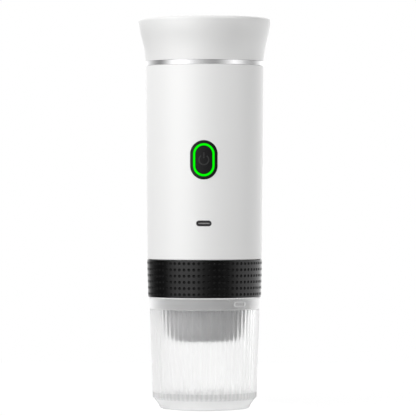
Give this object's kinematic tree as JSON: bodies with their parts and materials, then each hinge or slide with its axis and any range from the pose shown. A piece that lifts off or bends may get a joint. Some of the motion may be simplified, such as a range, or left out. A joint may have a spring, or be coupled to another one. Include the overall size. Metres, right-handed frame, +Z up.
{
  "type": "portable espresso maker",
  "caption": "Bottle-shaped battery espresso maker: flared screw lid over a heated tank, white body with a lit button, dimpled brew head and a clear ribbed cup.",
  "frame": {"origin": "centre of the cup's underside, on the surface that the machine stands on", "axes": "+Z up along the machine's axis, -Y towards the button and the charging socket"},
  "size_m": [0.0792, 0.0792, 0.2334],
  "materials": {
    "clear_plastic": "clear frosted moulding",
    "black_grip": "satin black moulding with dimples",
    "grey_plastic": "satin grey moulding",
    "bright_steel": "brushed stainless steel",
    "grey_silicone": "matt silicone",
    "white_silicone": "matt silicone",
    "white_shell": "satin white moulding",
    "white_inner": "plain white moulding",
    "inner_plastic": "plain dark moulding",
    "cell_sleeve": "shrink sleeve over a metal can",
    "board_green": "solder mask on glass board",
    "chip_black": "moulded chip",
    "light_guide": "translucent, lit green",
    "dark_metal": "blackened steel shell",
    "black_gloss": "semi-gloss black moulding",
    "black_rubber": "matt rubber",
    "motor_can": "zinc-plated can",
    "cam_brass": "turned brass",
    "lead_red": "wire insulation",
    "heater_metal": "cast plate",
    "chrome_trim": "polished chrome plating"
  },
  "bodies": {
    "cup": {"cup": "clear_plastic"},
    "brew_head": {"grip_band": "black_grip", "brew_chamber": "grey_plastic", "filter_basket": "bright_steel", "cup_seal": "grey_silicone"},
    "brew_gasket": {"brew_gasket": "grey_silicone"},
    "housing": {"main_housing": "white_shell", "base_plate": "grey_plastic", "base_screws": "bright_steel", "shower_screen": "bright_steel", "lower_frame": "inner_plastic", "upper_frame": "inner_plastic", "frame_screws": "bright_steel", "battery_cells": "cell_sleeve", "cell_links": "bright_steel", "control_board": "board_green", "board_chips": "chip_black", "status_leds": "light_guide", "tact_switch": "chip_black", "usb_socket": "dark_metal", "usb_tongue": "grey_plastic", "button_bezel": "black_gloss", "light_ring": "light_guide", "pump_damper": "black_rubber", "pump_head": "inner_plastic", "pump_screws": "bright_steel", "pump_motor": "motor_can", "motor_leads": "lead_red", "inlet_hose": "white_silicone", "outlet_hose": "white_silicone", "heater_plate": "heater_metal", "thermostat": "chip_black", "water_tank": "bright_steel", "tank_collar": "white_inner", "trim_ring": "chrome_trim"},
    "power_button": {"power_button": "black_gloss"},
    "pump_drive": {"drive_shaft": "bright_steel", "eccentric_cam": "cam_brass"},
    "lid_seal": {"lid_seal": "white_silicone"},
    "lid": {"top_lid": "white_shell", "lid_liner": "white_inner", "vent_valve": "white_silicone"}
  },
  "joints": [
    {"name": "cup_release", "type": "slide", "parent": "cup", "child": "brew_head", "axis": [0, 0, 1], "range_m": [0, 0.045]},
    {"name": "housing_lift", "type": "slide", "parent": "brew_head", "child": "brew_gasket", "axis": [0, 0, 1], "range_m": [0, 0.012]},
    {"name": "housing_turn", "type": "hinge", "parent": "brew_gasket", "child": "housing", "pos_m": [0, 0, 0.084], "axis": [0, 0, 1], "range_deg": [0, 540]},
    {"name": "lid_lift", "type": "slide", "parent": "housing", "child": "lid_seal", "axis": [0, 0, 1], "range_m": [0, 0.012]},
    {"name": "lid_turn", "type": "hinge", "parent": "lid_seal", "child": "lid", "pos_m": [0, 0, 0.213], "axis": [0, 0, 1], "range_deg": [0, 540]},
    {"name": "button_press", "type": "slide", "parent": "housing", "child": "power_button", "axis": [0, 1, 0], "range_m": [0, 0.0006], "stiffness_N_per_m": 3000},
    {"name": "pump_spin", "type": "hinge", "parent": "housing", "child": "pump_drive", "pos_m": [0, -0.00701, 0.117], "axis": [0, 0, 1], "continuous": true}
  ],
  "couplings": [
    {"joint": "housing_lift", "follows": "housing_turn", "m_per_rad": 0.0012732},
    {"joint": "lid_lift", "follows": "lid_turn", "m_per_rad": 0.0012732}
  ]
}
